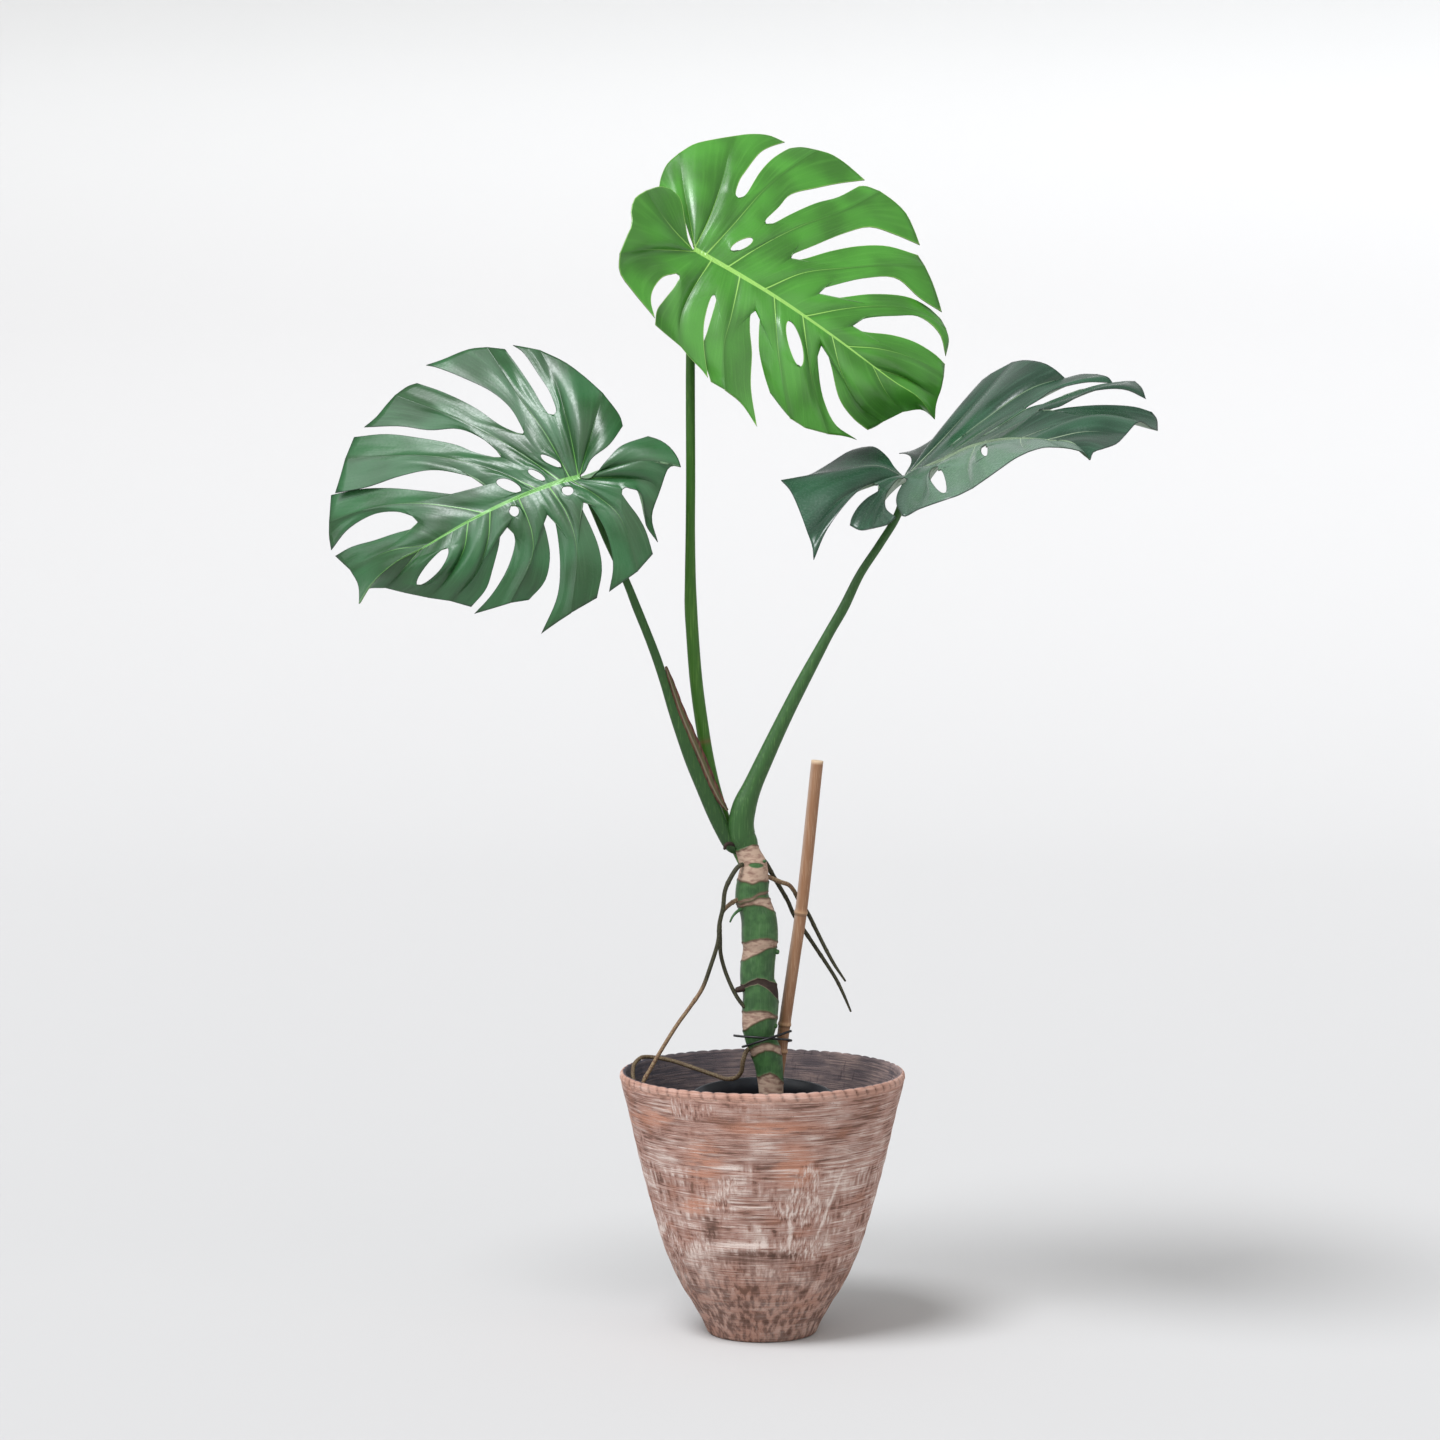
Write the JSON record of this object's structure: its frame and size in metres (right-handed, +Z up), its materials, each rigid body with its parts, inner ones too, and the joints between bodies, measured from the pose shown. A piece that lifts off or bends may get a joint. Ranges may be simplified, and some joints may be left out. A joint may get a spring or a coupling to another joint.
{
  "type": "potted monstera plant",
  "caption": "Potted monstera with large split leaves on long stalks, a cane-staked stem with aerial roots, and a grow pot of soil inside a bell-shaped terracotta pot.",
  "frame": {"origin": "centre of the flat underside of the outer pot's foot", "axes": "+Z up, -Y is the front that the leaves face, +X to the right as seen from the front"},
  "size_m": [0.81, 0.4064, 1.1993],
  "materials": {
    "terracotta": "dusty unglazed clay, matt",
    "black_plastic": "satin",
    "potting_soil": "crumbly, matt",
    "green_stem": "satin",
    "cane": "dry, matt",
    "black_wire": "satin",
    "petiole_green": "satin",
    "dry_sheath": "papery, matt",
    "leaf_dark_green": "waxy",
    "leaf_bright_green": "waxy",
    "leaf_grey_green": "waxy",
    "dark_root": "matt",
    "brown_root": "matt"
  },
  "bodies": {
    "root": {"outer_pot": "terracotta", "grow_pot": "black_plastic", "soil": "potting_soil", "stem": "green_stem", "stake": "cane", "tie": "black_wire", "petiole_left": "petiole_green", "petiole_top": "petiole_green", "petiole_right": "petiole_green", "dry_husk": "dry_sheath", "leaf_left": "leaf_dark_green", "leaf_top": "leaf_bright_green", "leaf_right": "leaf_grey_green", "root_left_long": "dark_root", "root_left_loop": "dark_root", "root_in_pot": "brown_root", "root_right_upper": "brown_root", "root_right_lower": "dark_root"}
  },
  "joints": []
}
